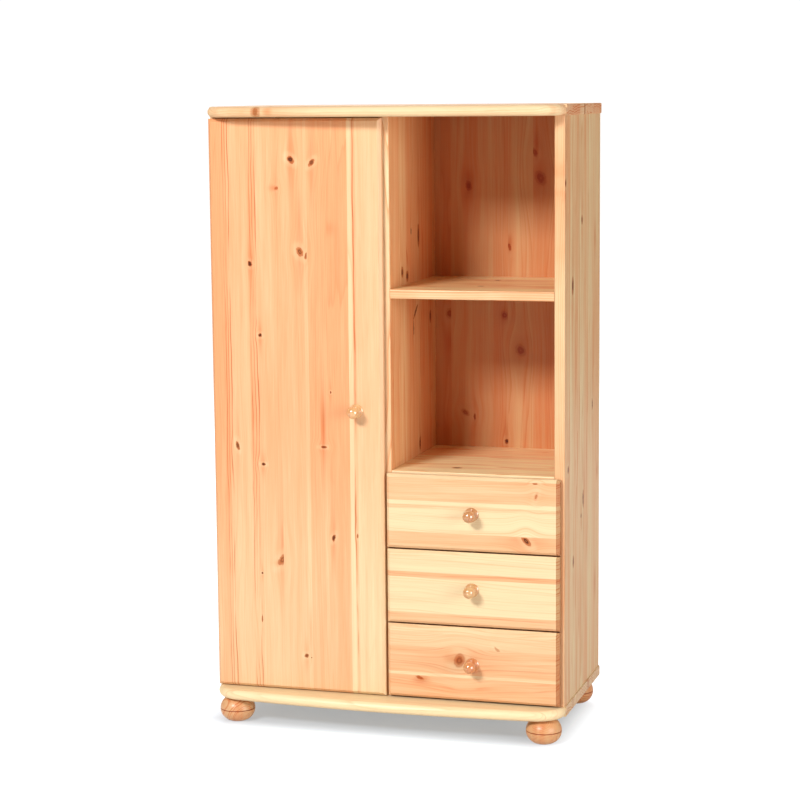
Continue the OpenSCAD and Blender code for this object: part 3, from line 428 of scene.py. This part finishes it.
def pine(name, axes, seed, stave_width=0.075, bands=None, knots=(), veins=(), flames=(), strewn=0.0,
         pitch=0.006, grain=0.5, streaks=1.3, tint=(1.0, 1.0, 1.0), light_and_shade_behind_y=None, ends=None,
         end_shade=END_GRAIN, edges=None, tone_shift=0.0, tone_range=0.8, stain=0.5, painted_light_fade=None, **finish):
    """Pine glued up from staves. axes names the directions across the grain, along it and into the board.
    Places and sizes are in metres.
    bands      the staves one by one as (start, tone), else they are all stave_width wide
    knots      (across, along, half width, half length, lean, strength) of each; strewn is the size of
               others in random places, 0 for none
    veins      (across, width, strength) of each
    flames     (across, along, half width, half length, strength) of each
    pitch      width of a growth ring; grain is the strength of the rings, streaks that of the streaks
    light_and_shade_behind_y  the plane y behind which the wood takes the tint, painted light and shade
           for those faces; in front of it, on the board's front edge, it keeps the untinted colours
    ends       two places along the grain, outside which the surface cuts across the fibres; that end
               grain is darkened by end_shade and shows its rings
    edges      two places across the grain where the long edges lie; the edge faces outside them, in the
           gaps between the fronts, are darkened by painted shade
    painted_light_fade  two places along the grain and the tone shift at each: a painted gradient of
           light and shade
    stain      strength of the stains round the knots
    The tone of a stave, times tone_range and plus tone_shift, goes from sapwood at 0 to heartwood at 1."""
    grit_per_metre, wobble_width = 170.0, 1.3  # the rough edges of knots
    winding_across, winding_along = 25.0, 4.0  # the bends of veins, per metre
    joint_darkness, end_grain_extra = 0.35, 1.6
    edge_width = 0.0004
    m, t, shader = new_material(name)
    xyz = split_xyz(t, object_place(t))
    across, along, depth = (xyz["XYZ".index(a)] for a in axes)
    # painted light and shade: along the grain the tone shift runs between the two places of
    # painted_light_fade
    if painted_light_fade:
        tone_shift = ramp_between(t, along, *painted_light_fade)
    stave, tone, joint = lay_staves(t, across, stave_width, bands, seed)
    here = {"Across": across, "Along": along}

    rough = noise(t, join(t, across, along, depth), grit_per_metre, 2.0)
    wobble = spread(t, rough[0], wobble_width)
    so_far = dict.fromkeys(KNOT_MARKS, 0.0)
    if strewn:
        so_far = use(t, strewn_knots, {**here, "Wobble": wobble, "Seed": seed, "Size": strewn})
    for a, b, half_width, half_length, lean, strength in knots:
        so_far = use(t, knot, {**here, "Wobble": wobble, "At across": a, "At along": b,
                               "Half width": half_width, "Half length": half_length, "Lean": lean,
                               "Strength": strength, **stave_limits(a, stave_width, bands, seed),
                               **{mark + " so far": so_far[mark] for mark in KNOT_MARKS}})
    moved = calc(t, "ADD", across, so_far["Shift"])

    winding = noise(t, join(t, times(t, across, winding_across), times(t, along, winding_along), seed),
                    1.0, 3.0)
    bend, gaps = split_colour(t, winding["Color"])[:2]
    lines = 0.0
    for a, width, strength in veins:
        lines = use(t, vein, {"Across": moved, "Bend": bend, "Gaps": gaps, "At": a, "Width": width,
                              "Strength": strength, "So far": lines})["Veins"]
    lines = calc(t, "MAXIMUM", lines, times(t, joint, joint_darkness))
    stained = times(t, so_far["Stain"], stain)
    for a, b, half_width, half_length, strength in flames:
        stained = use(t, flame, {**here, "At across": a, "At along": b, "Half width": half_width,
                                 "Half length": half_length, "Strength": strength,
                                 **stave_limits(a, stave_width, bands, seed),
                                 "Stain so far": stained})["Stain"]

    fig = use(t, figure, {"Across": moved, "Along": along, "Depth": depth, "Seed": stave, "Pitch": pitch,
                          "Scatter": 1.0})
    streak = spread(t, fig["Tone"], streaks)
    tone = calc(t, "ADD", calc(t, "MULTIPLY_ADD", tone, tone_range, tone_shift), streak)
    sap, heart = two_woods(tint)
    # painted light and shade: behind the plane the wood takes the tint, in front of it the untinted colours
    if light_and_shade_behind_y is not None:
        behind = calc(t, "GREATER_THAN", xyz[1], light_and_shade_behind_y)
        sap, heart = (blend(t, "MIX", behind, pale, tinted)
                      for pale, tinted in zip(two_woods(), (sap, heart)))
    if ends:
        out = calc(t, "SUBTRACT", 1.0, within(t, along, *ends))
        grain = calc(t, "MULTIPLY_ADD", out, end_grain_extra, grain)
    wood = use(t, wood_colour, {"Sapwood": sap, "Heartwood": heart, "Tone": clamped(t, tone),
                                "Latewood": fig["Latewood"], "Latewood strength": grain,
                                "Fibres": fig["Fibres"], "Veins": lines, "Core": so_far["Core"],
                                "Halo": so_far["Halo"], "Stain": stained})
    colour = wood["Colour"]
    if ends:
        colour = blend(t, "MULTIPLY", out, colour, end_shade)
    # painted shade: the long edge faces outside edges, in the gaps between the fronts, are darkened
    if edges:
        inside = within(t, across, edges[0] + edge_width, edges[1] - edge_width)
        colour = blend(t, "MULTIPLY", calc(t, "SUBTRACT", 1.0, inside), colour, PAINTED_GAP_SHADE)
    lacquer(t, shader, colour, wood["Height"], **finish)
    return m


def turned_pine(name, centre, toward, seed, tint, pitch, latewood, groove_z=None, **finish):
    """Pine turned on a lathe. The growth rings run round a pith line through centre that points toward
    the given direction, so that the round shape cuts them into circles there. Painted shade darkens
    the groove at height groove_z."""
    scatter = 0.06  # the pith line keeps close to its place
    streaks, middle_tone = 2.0, 0.6
    groove_out, groove_in = 0.0014, 0.0008  # metres from the groove's middle
    relief_depth = 0.00004
    m, t, shader = new_material(name)
    turn = Vector(toward).to_track_quat("Z", "Y").to_euler()
    turned = node(t, "ShaderNodeMapping", {"Vector": object_place(t), "Location": centre, "Rotation": turn},
                  vector_type="TEXTURE")
    x, y, z = split_xyz(t, turned.outputs[0])
    fig = use(t, figure, {"Across": x, "Along": z, "Depth": y, "Seed": seed, "Pitch": pitch,
                          "Scatter": scatter})
    tone = calc(t, "MULTIPLY_ADD", calc(t, "SUBTRACT", fig["Tone"], 0.5), streaks, middle_tone)
    sap, heart = two_woods(tint)
    wood = use(t, wood_colour, {"Sapwood": sap, "Heartwood": heart, "Tone": clamped(t, tone),
                                "Latewood": fig["Latewood"], "Latewood strength": latewood,
                                "Fibres": fig["Fibres"]})
    colour = wood["Colour"]
    # painted shade: the groove is darkened where shade falls in it
    if groove_z is not None:
        height = split_xyz(t, object_place(t))[2]
        off = calc(t, "ABSOLUTE", calc(t, "SUBTRACT", height, groove_z))
        dark = ramp_between(t, off, groove_out, groove_in)
        colour = blend(t, "MULTIPLY", dark, colour, PAINTED_GROOVE_SHADE)
    lacquer(t, shader, colour, wood["Height"], depth=relief_depth, **finish)
    return m


def zinc_steel(name, colour=(0.80, 0.81, 0.82, 1.0), roughness=0.36):
    """Bright zinc plate with a faint mottle, which also varies its roughness a little."""
    m, t, shader = new_material(name)
    mottle = noise(t, object_place(t), 420.0, 3.0)[0]
    put(t, shader.inputs["Base Color"], blend(t, "MULTIPLY", mottle, colour, (0.82, 0.84, 0.86, 1.0)))
    shader.inputs["Metallic"].default_value = 1.0
    put(t, shader.inputs["Roughness"], ramp_between(t, mottle, 0.2, 0.8, roughness - 0.08, roughness + 0.1))
    return m


def catch_plastic(name):
    """Cream moulding with a fine spark-eroded surface."""
    m, t, shader = new_material(name)
    grit = noise(t, object_place(t), 1800.0, 2.0)[0]
    put(t, shader.inputs["Base Color"], blend(t, "MIX", grit, linear(226, 218, 196), linear(214, 204, 180)))
    shader.inputs["Roughness"].default_value = 0.5
    relief(t, shader, grit, 0.3, 0.0001)
    return m


def dress(names, material):
    """Gives the material to every slot of the named CAD nodes."""
    for name in names:
        for slot in nodes[name].material_slots:
            slot.material = material


# Door: upright staves from the hinge edge to the free edge, then its knots, veins and flames
door_bands = [(-0.431, 0.90), (-0.385, 0.62), (-0.333, 0.72), (-0.314, 0.66), (-0.254, 0.72),
              (-0.193, 0.55), (-0.185, 0.80), (-0.136, 0.88), (-0.086, 0.24), (-0.073, 0.60), (-0.065, 0.42)]
door_knots = [(-0.222, 1.366, 0.0066, 0.0102, 0.75, 1.0), (-0.170, 1.359, 0.0054, 0.0102, -0.75, 0.8),
              (-0.258, 1.299, 0.0060, 0.0045, 0.2, 0.35), (-0.202, 1.150, 0.0080, 0.0112, 0.5, 0.8),
              (-0.186, 1.141, 0.0046, 0.0086, -0.3, 0.65), (-0.328, 1.120, 0.0048, 0.0064, 0.4, 1.0),
              (-0.305, 0.950, 0.0042, 0.0044, 0.0, 1.0), (-0.130, 0.818, 0.0019, 0.0030, 0.0, 0.8),
              (-0.367, 0.682, 0.0042, 0.0105, 0.2, 0.8), (-0.149, 0.686, 0.0075, 0.0031, 0.0, 0.9),
              (-0.302, 0.639, 0.0052, 0.0034, 0.0, 1.0), (-0.127, 0.467, 0.0044, 0.0080, -0.3, 0.9),
              (-0.067, 0.475, 0.0022, 0.0060, 0.0, 0.6), (-0.257, 0.408, 0.0085, 0.0165, -0.6, 0.75),
              (-0.310, 0.372, 0.0022, 0.0026, 0.0, 0.9), (-0.312, 0.259, 0.0018, 0.0096, 0.0, 0.6),
              (-0.200, 0.174, 0.0052, 0.0050, 0.5, 0.8), (-0.187, 0.170, 0.0015, 0.0019, 0.0, 0.7)]
door_veins = [(-0.392, 0.0016, 0.8), (-0.386, 0.0016, 0.7), (-0.379, 0.0022, 0.95), (-0.328, 0.0018, 0.8),
              (-0.321, 0.0016, 0.8), (-0.313, 0.0022, 0.95), (-0.070, 0.0032, 0.95)]
door_flames = [(-0.149, 0.735, 0.0060, 0.085, 0.85), (-0.257, 0.455, 0.0060, 0.055, 0.6),
               (-0.266, 0.398, 0.0130, 0.009, 0.55), (-0.202, 1.215, 0.0045, 0.070, 0.5),
               (-0.262, 1.299, 0.0130, 0.007, 0.7), (-0.128, 1.205, 0.0150, 0.016, 0.3),
               (-0.188, 0.240, 0.0040, 0.060, 0.4)]
# the door's tone runs paler towards its foot and darker towards its top: painted light and shade against the
# key light's fall-off down the door
dress(["door_panel"], pine("door_pine", "XZY", 0.31, bands=door_bands, knots=door_knots, veins=door_veins,
                           flames=door_flames, pitch=0.0058, grain=0.24, streaks=0.85, tone_range=1.0,
                           painted_light_fade=(0.25, 0.80, -0.20, 0.14)))

# Drawer fronts: the staves lie across the cabinet
drawer_looks = {
    "top": dict(
        seed=0.53, edges=(0.4505, 0.640), pitch=0.0045, grain=0.4,
        bands=[(0.450, 0.80), (0.491, 0.05), (0.546, 0.45), (0.556, 0.0), (0.567, 0.75), (0.621, 0.2)],
        knots=[(0.619, 0.366, 0.0025, 0.008, 0.0, 0.45), (0.589, 0.368, 0.0100, 0.0045, 0.3, 0.35),
               (0.483, 0.344, 0.0150, 0.0065, -0.75, 0.95)],
        veins=[(0.553, 0.003, 0.4), (0.575, 0.0015, 0.3)]),
    "middle": dict(
        seed=0.17, edges=(0.270, 0.4475), pitch=0.0062, grain=0.35,
        bands=[(0.270, 0.70), (0.297, 0.06), (0.382, 0.85), (0.395, 0.15)],
        veins=[(0.391, 0.0022, 0.5), (0.384, 0.0016, 0.4), (0.293, 0.0025, 0.4)]),
    "bottom": dict(
        seed=0.77, edges=(0.0895, 0.267), pitch=0.0050, grain=0.45,
        bands=[(0.090, 0.85), (0.144, 0.15), (0.151, 0.75), (0.214, 0.55), (0.250, 0.40)],
        knots=[(0.187, 0.182, 0.0170, 0.0125, 0.3, 0.68), (0.139, 0.084, 0.0040, 0.010, 0.4, 0.45),
               (0.216, 0.276, 0.004, 0.012, 0.9, 0.25)],
        veins=[(0.205, 0.002, 0.3), (0.172, 0.003, 0.3)],
        flames=[(0.136, 0.088, 0.0100, 0.020, 1.0), (0.190, 0.172, 0.014, 0.032, 0.9)])}
for name, look in drawer_looks.items():
    # only the right ends, past x 0.4152, count as end grain: their darkening is partly end grain and partly
    # painted shade on the side turned away from the key light
    dress([name + "_drawer_front"], pine(name + "_drawer_pine", "ZXY", ends=(0.0, 0.4152),
                                         end_shade=DRAWER_END_GRAIN_AND_SHADE, **look))

# Uprights: staves run up the cabinet. Behind front_edge_y their faces take a tint that paints light and
# shade; their front edges, in front of it, keep the untinted colours
front_edge_y = -0.159
right_bands = [(-0.170, 0.55), (-0.1625, 0.66), (-0.137, 0.75), (-0.104, 0.40), (-0.048, 0.75),
               (-0.015, 0.42), (0.054, 0.68), (0.101, 0.42), (0.149, 0.62)]
right_knots = [(-0.152, 1.312, 0.006, 0.009, 0.0, 0.9), (0.028, 1.218, 0.008, 0.011, 0.1, 0.9),
               (-0.074, 1.071, 0.010, 0.020, 0.0, 1.0), (0.152, 0.762, 0.008, 0.014, 0.2, 0.9),
               (-0.121, 0.644, 0.008, 0.009, 0.0, 0.9), (0.050, 0.545, 0.011, 0.022, 0.1, 0.9),
               (0.025, 0.508, 0.005, 0.006, 0.0, 0.8), (-0.063, 0.414, 0.008, 0.015, 0.0, 0.8)]
right_flames = [(0.180, 1.165, 0.010, 0.040, 0.8), (0.190, 0.310, 0.010, 0.040, 0.8),
                (0.212, 0.590, 0.008, 0.020, 0.8), (0.060, 0.580, 0.008, 0.050, 0.6)]
partition_knots = [(0.084, 1.174, 0.009, 0.028, 0.0, 1.0), (0.020, 1.188, 0.004, 0.009, 0.0, 0.9),
                   (-0.057, 1.095, 0.009, 0.013, 0.1, 1.0), (-0.015, 1.082, 0.010, 0.013, -0.1, 1.0),
                   (0.055, 0.990, 0.005, 0.026, -0.88, 0.9), (0.035, 0.952, 0.006, 0.020, 0.1, 0.9),
                   (0.186, 0.966, 0.008, 0.015, 0.0, 1.0), (0.086, 0.660, 0.008, 0.016, 0.0, 1.0)]
# right side: its faces behind the front edge are tinted darker and less red, painted shade on the side
# turned away from the key light
dress(["right_side"], pine("right_side_pine", "YZX", 0.23, bands=right_bands, knots=right_knots,
                           flames=right_flames, pitch=0.0050, grain=0.8, streaks=1.9, tone_range=1.0,
                           tint=(0.87, 0.94, 0.92), light_and_shade_behind_y=front_edge_y))
dress(["left_side"], pine("left_side_pine", "YZX", 0.64, stave_width=0.066, strewn=0.010, grain=0.4))
# partition: its faces behind the front edge are tinted redder, painted shade for the dim light inside the
# niches
dress(["partition"], pine("partition_pine", "YZX", 0.41, stave_width=0.058, knots=partition_knots, grain=1.2,
                          streaks=2.2, tone_range=0.7, tone_shift=0.15, tint=(1.0, 0.82, 0.68),
                          light_and_shade_behind_y=front_edge_y))

# Boards and shelves: the grain runs across the cabinet
board_ends = (-0.433, 0.433)
top_knots = [(-0.232, -0.291, 0.0115, 0.0125, 0.0, 0.6), (-0.052, 0.187, 0.008, 0.012, 0.3, 0.9),
             (0.071, -0.246, 0.006, 0.009, 0.0, 0.8), (0.163, 0.034, 0.007, 0.010, -0.4, 0.9),
             (0.043, 0.434, 0.007, 0.012, 0.0, 0.5)]
bottom_knots = [(0.090, 0.434, 0.030, 0.020, 0.0, 0.25), (-0.070, 0.434, 0.025, 0.018, 0.2, 0.2),
                (-0.020, -0.130, 0.007, 0.010, 0.3, 0.9)]
dress(["top_board"], pine("top_board_pine", "YXZ", 0.12, stave_width=0.080, knots=top_knots,
                          flames=[(-0.232, -0.262, 0.006, 0.016, 0.8)], ends=board_ends, tone_range=0.5,
                          tone_shift=0.14, tint=(0.99, 0.97, 0.96), roughness=0.75, coat=0.0))
dress(["bottom_board"], pine("bottom_board_pine", "YXZ", 0.87, stave_width=0.074, knots=bottom_knots,
                             ends=board_ends, tone_range=0.5, tone_shift=-0.42, tint=(1.08, 1.09, 1.09)))
# niche shelf and niche floor: their faces behind the front edge are tinted lighter, painted light on their
# lit tops
dress(["niche_shelf"], pine("niche_shelf_pine", "YXZ", 0.36, stave_width=0.060, strewn=0.009, grain=1.3,
                            streaks=2.2, tone_shift=-0.15, tint=(1.10, 1.06, 0.94),
                            light_and_shade_behind_y=front_edge_y))
dress(["niche_floor"], pine("niche_floor_pine", "YXZ", 0.58, stave_width=0.052, grain=1.3, streaks=2.4,
                            knots=[(-0.088, 0.154, 0.011, 0.012, 0.0, 1.0)], tone_shift=-0.10,
                            tint=(1.20, 1.25, 1.20), light_and_shade_behind_y=front_edge_y))
for n, name in enumerate(("upper_inner_shelf", "middle_inner_shelf", "lower_inner_shelf")):
    dress([name], pine(name + "_pine", "YXZ", 0.21 + 0.3*n, stave_width=0.064, strewn=0.009, coat=0.1,
                       roughness=0.5))

# Back panels: a thin pine face stained by the years, redder than the rest
back_bands = [(0.0, 0.90), (0.030, 1.0), (0.054, 0.78), (0.124, 0.60), (0.1625, 0.80), (0.201, 0.50),
              (0.265, 0.85)]
back_knots = [(0.101, 1.288, 0.0080, 0.0120, 0.2, 0.60), (0.284, 1.308, 0.0135, 0.0190, 0.5, 0.50),
              (0.269, 1.371, 0.0070, 0.0110, 0.5, 0.45), (0.205, 1.137, 0.0040, 0.0120, 0.3, 0.40),
              (0.050, 0.969, 0.0100, 0.0130, 0.0, 0.45), (0.192, 0.967, 0.0095, 0.0115, 0.3, 0.40),
              (0.233, 0.880, 0.0125, 0.0165, 0.6, 0.45), (0.090, 0.719, 0.0120, 0.0070, -0.6, 0.50),
              (0.114, 0.709, 0.0030, 0.0080, 0.0, 0.6), (0.197, 0.649, 0.0050, 0.0065, 0.0, 0.9)]
back_flames = [(0.101, 1.290, 0.016, 0.045, 1.0), (0.284, 1.310, 0.022, 0.045, 1.0),
               (0.274, 1.385, 0.007, 0.045, 0.9), (0.205, 1.145, 0.007, 0.025, 1.0),
               (0.050, 0.900, 0.012, 0.040, 0.7), (0.192, 0.967, 0.015, 0.025, 0.9),
               (0.233, 0.880, 0.024, 0.040, 0.9), (0.090, 0.719, 0.015, 0.030, 0.6)]
dress(["right_back_panel"], pine("right_back_pine", "XZY", 0.71, bands=back_bands, knots=back_knots,
                                 flames=back_flames, grain=0.45, streaks=1.8, tone_range=1.0,
                                 tint=(0.81, 0.62, 0.50), stain=0.7))
dress(["left_back_panel"], pine("left_back_pine", "XZY", 0.29, stave_width=0.090, strewn=0.010, grain=0.3,
                                tone_range=0.5, tone_shift=0.5, tint=(0.84, 0.66, 0.54)))

# Drawer boxes
box = {"coat": 0.1, "roughness": 0.5, "strewn": 0.007, "grain": 0.4}
for n, name in enumerate(("top", "middle", "bottom")):
    dress([name + "_drawer_left_side", name + "_drawer_right_side"],
          pine(name + "_box_side_pine", "ZYX", 0.33 + 0.21*n, stave_width=0.125, **box))
    dress([name + "_drawer_back"], pine(name + "_box_back_pine", "ZXY", 0.45 + 0.17*n, stave_width=0.113,
                                        **box))
    dress([name + "_drawer_bottom"], pine(name + "_box_bottom_pine", "YXZ", 0.66 + 0.13*n, stave_width=0.2,
                                          pitch=0.009, tint=(0.9, 0.84, 0.78), coat=0.05, roughness=0.55))

# Turned feet: place of the middle in x and y, direction of the pith line, tint
foot_middle_z = 0.030
warm, warmer = (0.87, 0.79, 0.72), (0.86, 0.72, 0.61)
feet = {"front_left": (-0.384, -0.170, (0.5, -0.6, -0.3), warm),
        "front_right": (0.384, -0.170, (0.1, -0.64, 0.76), warmer),
        "back_left": (-0.384, 0.194, (-0.6, 0.5, 0.2), warm),
        "back_right": (0.384, 0.194, (0.8, -0.3, 0.4), warmer)}
for n, (name, (x, y, toward, tint)) in enumerate(feet.items()):
    dress([name + "_foot"], turned_pine(name + "_foot_pine", (x, y, foot_middle_z), toward, 0.2 + 0.17*n,
                                        tint, pitch=0.0034, latewood=2.0, groove_z=foot_middle_z,
                                        roughness=0.36, coat=0.4, coat_roughness=0.30))

# Turned knobs under a thick coat: place of the middle in x and z, direction of the pith line, seed, tint
knob_middle_y = -0.205
knobs = {"door": (-0.0665, 0.775, (0.5, -0.8, 0.1), 0.31, (0.96, 0.93, 0.76)),
         "top_drawer": (0.2135, 0.53925, (-0.2, -0.5, 0.8), 0.50, (0.70, 0.58, 0.45)),
         "middle_drawer": (0.2135, 0.35875, (0.1, -0.9, 0.3), 0.69, (0.82, 0.79, 0.63)),
         "bottom_drawer": (0.2135, 0.17825, (0.1, -0.6, 0.7), 0.88, (0.80, 0.52, 0.35))}
for name, (x, z, toward, seed, tint) in knobs.items():
    dress([name + "_knob"], turned_pine(name + "_knob_pine", (x, knob_middle_y, z), toward, seed, tint,
                                        pitch=0.0022, latewood=1.6, roughness=0.3, coat=1.0,
                                        coat_roughness=0.13, coat_ior=2.0))

# Beech strips and dowels
dress(["top_runners", "middle_runners", "bottom_runners", "carcass_dowels"],
      pine("beech", "ZYX", 0.9, stave_width=0.3, pitch=0.002, grain=0.2, tint=(0.86, 0.76, 0.68), coat=0.0,
           roughness=0.6))

# Metal and plastic fittings
fittings = ["foot_screws", "back_nails", "cam_bolts", "carcass_screws", "hinge_pins", "door_screws",
            "shelf_pins"]
fittings += [name for name in nodes if name.endswith("_knob_screw") or "hinge_cup" in name
             or "hinge_arm" in name]
dress(fittings, zinc_steel("zinc_steel"))
dress(["catch_plate"], zinc_steel("plate_steel", (0.80, 0.80, 0.80, 1.0), 0.30))
dress(["cam_locks"], zinc_steel("cast_zinc", (0.60, 0.61, 0.63, 1.0), 0.50))
dress(["magnet_catch"], catch_plastic("catch_plastic"))


# ---- floor, light and camera ----

def floor_sheet(size):
    """A flat square of the given size whose middle lies under the cabinet. It glows softly like a lit
    studio sweep, though it is no lamp: painted light that rises with the distance to a rectangle under
    the cabinet, so that no horizon shows, and whose weaker glow over that rectangle paints the cabinet's
    shadow. The eye sees the floor darker than the light does, so that the shadow round the feet shows."""
    # the floor as light meets it and as the eye sees it: the darker seen colour keeps the shadow showing
    # under the painted glow
    lit, seen_colour = (0.78, 0.78, 0.78, 1.0), (0.27, 0.30, 0.34, 1.0)
    to_left, half_x, half_y = 0.02, 0.38, 0.16  # the rectangle, in metres
    glow_reach, least_glow = 0.11, 0.38  # the glow is full this many metres outside it
    mesh = bpy.data.meshes.new("floor")
    h = size/2
    mesh.from_pydata([(-h, -h, 0), (h, -h, 0), (h, h, 0), (-h, h, 0)], [], [(0, 1, 2, 3)])
    piece = bpy.data.objects.new("floor", mesh)
    bpy.context.scene.collection.objects.link(piece)
    m, t, shader = new_material("floor_white")
    seen = node(t, "ShaderNodeLightPath").outputs["Is Camera Ray"]
    put(t, shader.inputs["Base Color"], blend(t, "MIX", seen, lit, seen_colour))
    shader.inputs["Roughness"].default_value = 0.9
    shader.inputs["Specular IOR Level"].default_value = 0.1
    x, y, z = split_xyz(t, object_place(t))
    out_x, out_y = (calc(t, "MAXIMUM", calc(t, "SUBTRACT", calc(t, "ABSOLUTE", value), half), 0.0)
                    for value, half in ((calc(t, "ADD", x, to_left), half_x), (y, half_y)))
    # painted light: the glow is weakest over the rectangle under the cabinet, where it paints the cabinet's
    # shadow
    glow = ramp_between(t, hypotenuse(t, out_x, out_y), 0.0, glow_reach, least_glow, 1.0)
    glow = times(t, glow, seen)
    put(t, shader.inputs["Emission Color"], join(t, times(t, glow, 0.98), glow, times(t, glow, 1.01)))
    shader.inputs["Emission Strength"].default_value = 1.0
    mesh.materials.append(m)


def soft_light(name, azimuth, elevation, distance, width, height, power):
    """A soft box aimed at the middle of the cabinet. Azimuth 0 is straight in front, and positive turns
    to the right."""
    aim_height = 0.75
    data = bpy.data.lights.new(name, "AREA")
    data.shape = "RECTANGLE"
    data.size = width
    data.size_y = height
    data.energy = power
    lamp = bpy.data.objects.new(name, data)
    a, e = math.radians(azimuth), math.radians(elevation)
    lamp.location = (distance*math.sin(a)*math.cos(e), -distance*math.cos(a)*math.cos(e),
                     aim_height + distance*math.sin(e))
    lamp.rotation_euler = (math.pi/2 - e, 0.0, a)
    bpy.context.scene.collection.objects.link(lamp)


def studio_world(ambient):
    """White to the eye, and a dim warm white as a source of light."""
    warm_white, white, white_strength = (1.0, 0.68, 0.50, 1.0), (1.0, 1.0, 1.0, 1.0), 1.05
    world = bpy.data.worlds.new("studio")
    bpy.context.scene.world = world
    world.use_nodes = True
    t = world.node_tree
    back = t.nodes["Background"]
    seen = node(t, "ShaderNodeLightPath").outputs["Is Camera Ray"]
    put(t, back.inputs["Color"], blend(t, "MIX", seen, warm_white, white))
    strength = node(t, "ShaderNodeMapRange", {0: seen, 3: ambient, 4: white_strength}).outputs[0]
    put(t, back.inputs["Strength"], strength)


def photo_camera():
    """The viewing point: a long lens to the right of the cabinet and above it, turned left and down. Its
    length was measured in pixels of a square picture 800 pixels wide."""
    focal_pixels, picture_pixels, sensor_mm = 2223.45, 800, 36.0
    eye = (1.51773, -5.13119, 1.52617)
    yaw, pitch, roll = 0.2899, -0.1387, -0.0090
    data = bpy.data.cameras.new("camera")
    data.sensor_width = sensor_mm
    data.lens = focal_pixels/picture_pixels*sensor_mm
    data.clip_end = 100.0
    cam = bpy.data.objects.new("camera", data)
    cy, sy, cp, sp = math.cos(yaw), math.sin(yaw), math.cos(pitch), math.sin(pitch)
    ahead = (-sy*cp, cy*cp, sp)
    right = (cy, sy, 0.0)
    up = (right[1]*ahead[2], -right[0]*ahead[2], right[0]*ahead[1] - right[1]*ahead[0])
    cr, sr = math.cos(roll), math.sin(roll)
    side = [cr*a + sr*b for a, b in zip(right, up)]
    top = [-sr*a + cr*b for a, b in zip(right, up)]
    rows = [[side[k], top[k], -ahead[k], p] for k, p in enumerate(eye)]
    cam.matrix_world = Matrix(rows + [[0, 0, 0, 1]])
    bpy.context.scene.collection.objects.link(cam)
    bpy.context.scene.camera = cam


floor_sheet(size=40.0)
soft_light("key", azimuth=-19, elevation=31.2, distance=9.0, width=2.6, height=1.5, power=700)
soft_light("fill", azimuth=63, elevation=6, distance=5.5, width=3.0, height=3.0, power=182)
soft_light("back", azimuth=205, elevation=22, distance=5.5, width=3.0, height=3.0, power=230)
studio_world(ambient=0.27)
photo_camera()
bpy.context.scene.view_settings.view_transform = "Standard"
